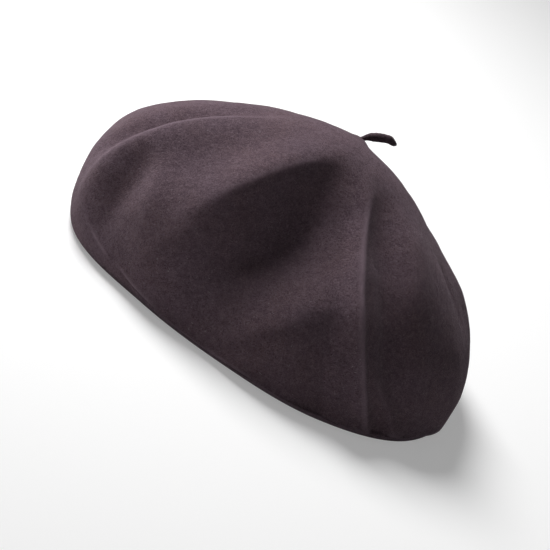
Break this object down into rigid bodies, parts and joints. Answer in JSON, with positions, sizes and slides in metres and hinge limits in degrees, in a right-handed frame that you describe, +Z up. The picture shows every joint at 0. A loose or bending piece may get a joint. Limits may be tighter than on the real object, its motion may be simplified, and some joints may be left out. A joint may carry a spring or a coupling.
{
  "type": "beret",
  "caption": "Soft round felt beret with draped folds and a short stalk on top, over a leather sweatband, a satin lining and two hanging labels.",
  "frame": {"origin": "middle of the head opening, on the plane that the hat rests on", "axes": "+Z up through the crown; -Y is the front, where the deepest folds are; +X is the wearer's left when the folds face forward; the sweatband's joint is at the back, +Y"},
  "size_m": [0.2365, 0.2074, 0.1149],
  "materials": {
    "felt": "fuzzy wool felt, matt",
    "stalk_felt": "tightly rolled wool felt, matt",
    "sweatband_leather": "smooth fine-grained, satin",
    "satin": "woven satin, soft shine",
    "thread": "twisted polyester thread",
    "label": "woven ribbon, bare"
  },
  "bodies": {
    "root": {"felt_crown": "felt", "stalk_patch": "felt", "stalk_tack": "thread", "sweatband": "sweatband_leather", "sweatband_stitches": "thread", "band_joint_stitches": "thread", "lining_side": "satin", "lining_tip": "satin", "lining_stitches": "thread"},
    "stalk": {"stalk": "stalk_felt"},
    "care_label": {"care_label": "label"},
    "size_label": {"size_label": "label"}
  },
  "joints": [
    {"name": "stalk_bend", "type": "hinge", "parent": "root", "child": "stalk", "pos_m": [0.00081, 0.0046, 0.10471], "axis": [-0.2747, 0.9615, 0], "range_deg": [-25, 20], "stiffness_Nm_per_rad": 0.002},
    {"name": "care_label_swing", "type": "hinge", "parent": "root", "child": "care_label", "pos_m": [0, 0.06683, 0.04401], "axis": [1, 0, 0], "range_deg": [-75, 40]},
    {"name": "size_label_swing", "type": "hinge", "parent": "root", "child": "size_label", "pos_m": [-0.02611, 0.06151, 0.04401], "axis": [0.9205, 0.3907, 0], "range_deg": [-75, 40]}
  ]
}
